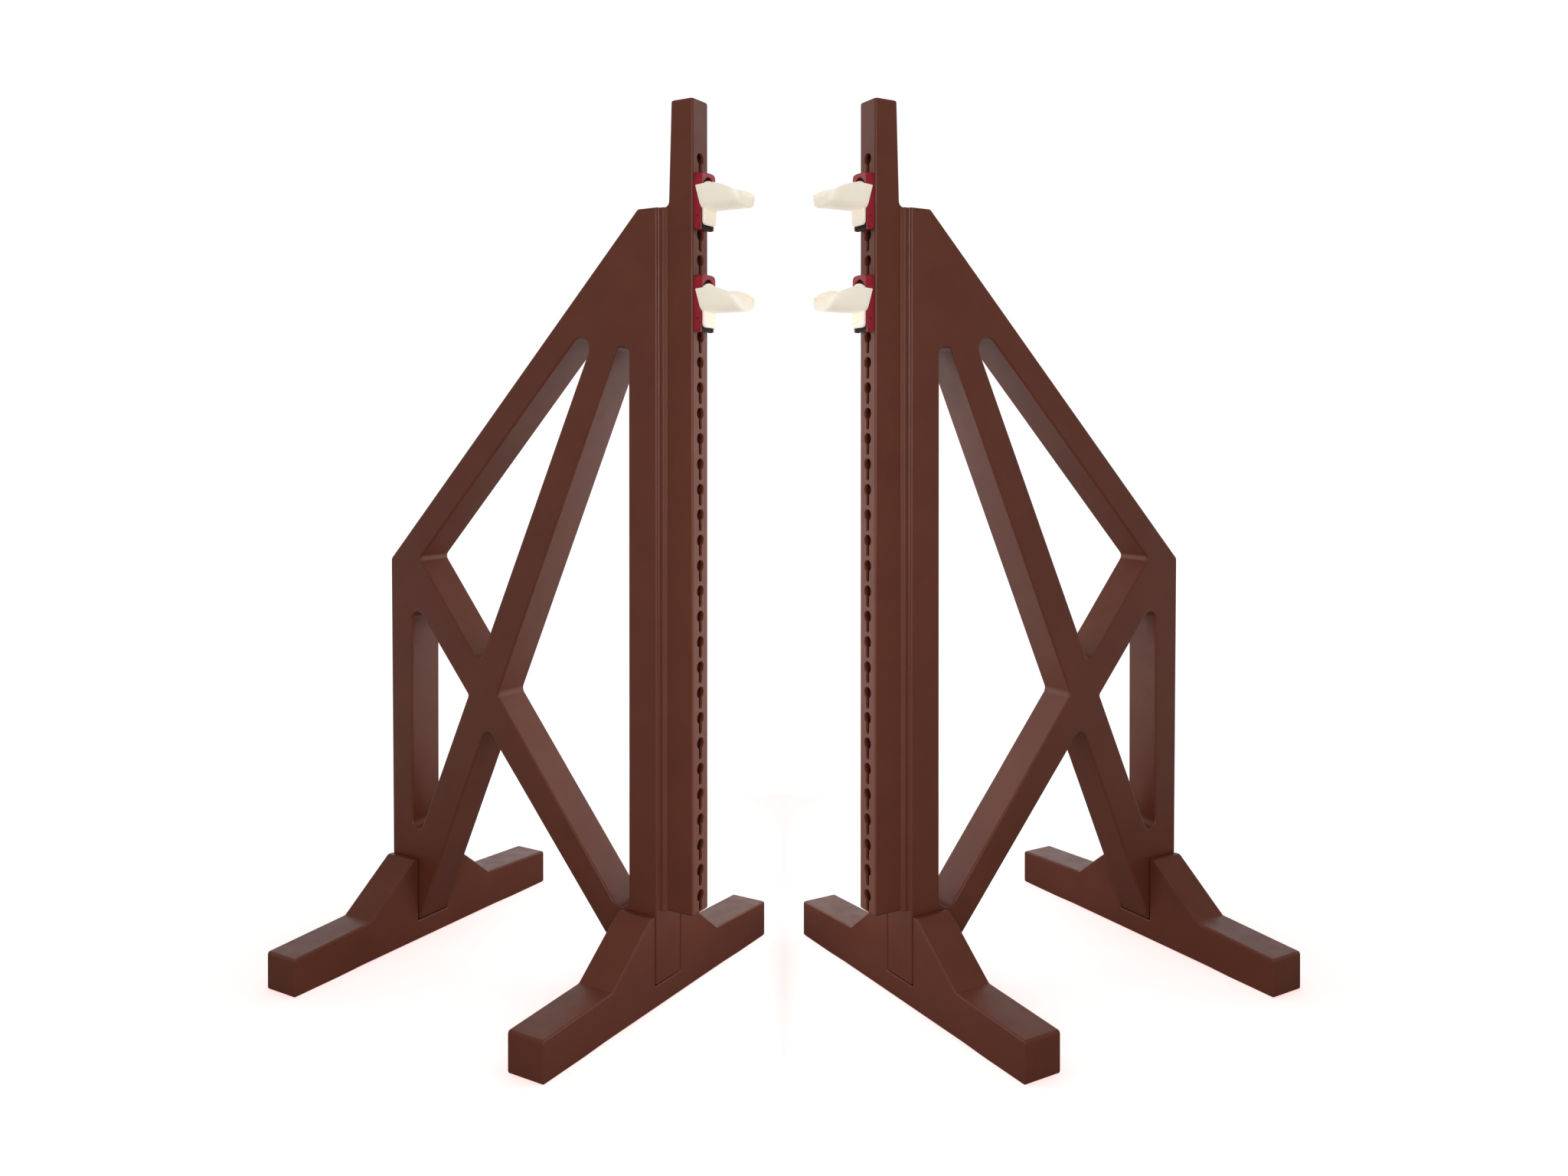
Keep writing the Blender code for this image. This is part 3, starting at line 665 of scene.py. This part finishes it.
def trough_mesh():
    """Open trough with an even wall, a rounded lip and a tip that drops away."""
    first, last = TROUGH[0][0], TROUGH[-1][0]
    shares = [step / 26 for step in range(27)]
    rings = []
    for share in shares:
        x = first + (last - first) * (1 - (1 - share) ** 1.35)
        half, rim, roundness = between(TROUGH, x)
        roundness = min(max(roundness, 0.0), 1.0)
        bottom = trough_bottom(x)
        outer = section(x, half, rim, bottom, roundness)
        inner = section(x, half - TROUGH_THICK, rim, bottom + TROUGH_THICK, roundness)
        lip = (half - TROUGH_THICK / 2, rim + LIP)
        ring = outer + [(-lip[0], lip[1])] + inner[::-1] + [lip]
        rings.append([Vector((x, y, z)) for y, z in ring])
    return loft_open(rings)


def loft_open(rings):
    """Trough solid: its end caps follow the bent wall, so they are strips of quads."""
    shape = bmesh.new()
    made = [[shape.verts.new(point) for point in ring] for ring in rings]
    count = len(made[0])
    for upper, lower in zip(made, made[1:]):
        for index in range(count):
            nearby = (index + 1) % count
            shape.faces.new((upper[index], upper[nearby], lower[nearby], lower[index]))
    wall = (count - 2) // 2
    for ring in (made[0], made[-1]):
        outer, inner = ring[:wall], ring[wall + 1:-1][::-1]
        for index in range(wall - 1):
            shape.faces.new((outer[index], outer[index + 1], inner[index + 1], inner[index]))
        shape.faces.new((outer[-1], ring[wall], inner[-1]))
        shape.faces.new((outer[0], inner[0], ring[-1]))
    return finished(shape)


def end_wall_mesh():
    rings = []
    for x, half, low, high in END_WALL:
        outline = section(x, half, high, trough_bottom(x) + low, 1.0)
        rings.append([Vector((x, y, z)) for y, z in outline])
    return loft(rings)


def cup_mesh():
    """Plate with a domed top, the trough and the low wall across its tip."""
    steps = [PLATE_HALF * (1 - 2 * step / 20) for step in range(21)]
    top = [(y, arch_height(y, PLATE_TOP, PLATE_TOP_FALL, PLATE_HALF)) for y in steps]
    low = rounded([(-PLATE_HALF, 0.05), (-PLATE_HALF, PLATE_BOTTOM),
                   (PLATE_HALF, PLATE_BOTTOM), (PLATE_HALF, 0.05)], [0, 0.008, 0.008, 0], 8)
    middle = (PLATE_BACK + PLATE_FRONT) / 2
    profile = edge_profile((PLATE_FRONT - PLATE_BACK) / 2, PLATE_EDGE)
    plate = slab([top + low], profile, lambda a, b, height: Vector((middle + height, a, b)))
    solids = [("UNION", trough_mesh()), ("UNION", end_wall_mesh())]
    return softened(boolean(plate, solids), 0.0005, 2, 50)


# ---- put the pieces in place ---------------------------------------------------------

def stand_matrix(side, turn):
    """Stand's own axes in the row frame, with the pair's depth centred on the origin."""
    far_x = FOOT_CENTRES["far"] + FOOT_WIDTH / 2
    near_x = FOOT_CENTRES["near"] - FOOT_WIDTH / 2
    reach = FOOT_LENGTH / 2 * cos(TOE_IN)
    y = -((far_x * sin(TOE_IN) + reach) + (near_x * sin(TOE_IN) - reach)) / 2
    return Matrix.Translation((side * FACE_TO_MIDDLE, y, 0)) @ Matrix.Rotation(turn, 4, "Z")


def build_stands(finish):
    wing, foot = wing_mesh(), foot_mesh()
    bracket, cup, stud, pin = bracket_mesh(), cup_mesh(), stud_mesh(), pin_mesh()
    latch, block_mesh = latch_mesh(), hinge_block_mesh()
    for name, side, turn in (("left", -1, pi - TOE_IN), ("right", 1, TOE_IN)):
        stand = stand_matrix(side, turn)
        place(name + "_wing_look", wing, stand, finish["brown"], name + "_wing_body",
              name + "_wing")
        for which, centre in FOOT_CENTRES.items():
            node = f"{name}_{which}_foot"
            place(node + "_look", foot, stand @ Matrix.Translation((centre, 0, 0)),
                  finish["brown"], node + "_body", node)
        for level, key in CUP_KEYS.items():
            label = f"{name}_{level}"
            base = FIRST_HEAD_Z - SLOT_DROP + key * PITCH - STUD_ABOVE
            holder = stand @ Matrix.Translation((0, 0, base)) @ Matrix.Rotation(pi, 4, "Z")
            body = label + "_bracket_body"
            hinge = holder @ Matrix.Translation((HINGE_X, 0, HINGE_Z))
            catch = holder @ Matrix.Translation((CATCH_X, 0, CATCH_Z))
            low = holder @ Matrix.Translation((0, 0, STUD_ABOVE))
            high = holder @ Matrix.Translation((0, 0, STUD_ABOVE + PITCH))
            # The latch block here and the hinge block below are black as painted shade in the hood
            # and the lower notch.
            for part, mesh, matrix, colour, slot_name in (
                    ("bracket", bracket, holder, "red", "red_plastic"),
                    ("low_stud", stud, low, "steel", "steel"),
                    ("high_stud", stud, high, "steel", "steel"),
                    ("hinge_pin", pin, hinge, "dark", "steel"),
                    ("catch_pin", pin, catch, "dark", "steel"),
                    ("latch_block", latch, holder, "black", "black_plastic")):
                place(f"{label}_{part}_look", mesh, matrix, finish[colour], body,
                      f"{label}_{part}")
            place(label + "_cup_look", cup, holder, finish["cream"], label + "_cup_body",
                  label + "_cup", 50)
            place(label + "_hinge_block_look", block_mesh, holder, finish["black"],
                  label + "_cup_body", label + "_hinge_block")


# ---- studio --------------------------------------------------------------------------

def area_light(name, location, target, size, power):
    data = bpy.data.lights.new(name, "AREA")
    data.shape = "RECTANGLE"
    data.size, data.size_y = size
    data.energy = power
    item = bpy.data.objects.new(name, data)
    item.location = location
    aim = Vector(target) - Vector(location)
    item.rotation_euler = aim.to_track_quat("-Z", "Y").to_euler()
    item.visible_camera = False
    bpy.context.scene.collection.objects.link(item)


def studio_world(scene):
    """White surround; what lights the object is darker in front of it and above it."""
    world = bpy.data.worlds.new("studio")
    world.use_nodes = True
    tree = world.node_tree
    coords = tree.nodes.new("ShaderNodeTexCoord")
    split = tree.nodes.new("ShaderNodeSeparateXYZ")
    tree.links.new(coords.outputs["Generated"], split.inputs[0])
    depth = mapped(tree, split.outputs["Y"], (-0.35, 0.30), (FRONT_LIGHT, BACK_LIGHT), "SMOOTHSTEP")
    height = mapped(tree, split.outputs["Z"], (0.40, 0.60), (1.0, TOP_LIGHT), "SMOOTHSTEP")
    product = tree.nodes.new("ShaderNodeMath")
    product.operation = "MULTIPLY"
    tree.links.new(depth, product.inputs[0])
    tree.links.new(height, product.inputs[1])
    seen = tree.nodes.new("ShaderNodeLightPath")
    choice = tree.nodes.new("ShaderNodeMix")
    tree.links.new(seen.outputs["Is Camera Ray"], choice.inputs[0])
    tree.links.new(product.outputs[0], choice.inputs[2])
    choice.inputs[3].default_value = BACKDROP
    tree.links.new(choice.outputs[0], tree.nodes["Background"].inputs["Strength"])
    tree.nodes["Background"].inputs["Color"].default_value = (1.0, 1.0, 1.0, 1)
    scene.world = world


def floor_finish():
    """White with faint warm shadows to the camera, and a third as bright to the object."""
    made, tree, shader = nodes_of("pale_floor")
    shader.inputs["Base Color"].default_value = (0.34, 0.33, 0.32, 1)
    shader.inputs["Roughness"].default_value = 0.9
    shader.inputs["Specular IOR Level"].default_value = 0.0
    matt = tree.nodes.new("ShaderNodeBsdfDiffuse")
    matt.inputs["Color"].default_value = (0.20, 0.93, 0.97, 1)
    glow = tree.nodes.new("ShaderNodeEmission")
    # Brighter towards the rim, so that the disc's edge doesn't show.
    coords = tree.nodes.new("ShaderNodeTexCoord")
    reach = tree.nodes.new("ShaderNodeVectorMath")
    reach.operation = "LENGTH"
    tree.links.new(coords.outputs["Object"], reach.inputs[0])
    rim = (0.70 * FLOOR_RADIUS, 0.95 * FLOOR_RADIUS)
    tint = tree.nodes.new("ShaderNodeMix")
    tint.data_type = "RGBA"
    tint.inputs[6].default_value = (0.94, 0.545, 0.515, 1)
    tint.inputs[7].default_value = (1.0, 1.0, 1.0, 1)
    tree.links.new(mapped(tree, reach.outputs["Value"], rim, (0.0, 1.0)), tint.inputs[0])
    tree.links.new(tint.outputs[2], glow.inputs["Color"])
    both = tree.nodes.new("ShaderNodeAddShader")
    seen = tree.nodes.new("ShaderNodeLightPath")
    choice = tree.nodes.new("ShaderNodeMixShader")
    tree.links.new(matt.outputs[0], both.inputs[0])
    tree.links.new(glow.outputs[0], both.inputs[1])
    tree.links.new(seen.outputs["Is Camera Ray"], choice.inputs[0])
    tree.links.new(shader.outputs[0], choice.inputs[1])
    tree.links.new(both.outputs[0], choice.inputs[2])
    output = next(node for node in tree.nodes if node.type == "OUTPUT_MATERIAL")
    tree.links.new(choice.outputs[0], output.inputs["Surface"])
    return made


def studio():
    scene = bpy.context.scene
    scene.view_settings.view_transform = "Standard"
    scene.view_settings.look = "None"
    studio_world(scene)

    shape = bmesh.new()
    bmesh.ops.create_circle(shape, cap_ends=True, radius=FLOOR_RADIUS, segments=96)
    mesh = bpy.data.meshes.new("floor")
    shape.to_mesh(mesh)
    shape.free()
    floor = bpy.data.objects.new("floor", mesh)
    scene.collection.objects.link(floor)
    mesh.materials.append(floor_finish())

    area_light("overhead", (0.0, -0.2, 4.2), (0, 0, 0.5), (5.0, 4.0), OVERHEAD_LIGHT)
    # Seen edge on: lights each stand's inner side as if the other stand were not there.
    for side in (-1, 1):
        area_light("card", (side * 0.002, 0.15, 0.72), (side * 3.0, 0.15, 0.72), (1.5, 1.3),
                   CARD_LIGHT)
    area_light("front", (0.0, -4.6, 1.7), (0, 0, 0.8), (2.6, 2.0), FRONT_PANEL_LIGHT)


def camera():
    data = bpy.data.cameras.new("camera")
    data.sensor_width = 36.0
    data.lens = LENS
    data.shift_y = SHIFT
    data.clip_start = 0.05
    item = bpy.data.objects.new("camera", data)
    item.location = (0.0, -CAMERA_DISTANCE, CAMERA_HEIGHT)
    item.rotation_euler = (pi / 2 - CAMERA_TILT, 0.0, 0.0)
    bpy.context.scene.collection.objects.link(item)
    bpy.context.scene.camera = item


build_stands(materials())
studio()
camera()
bpy.context.view_layer.update()
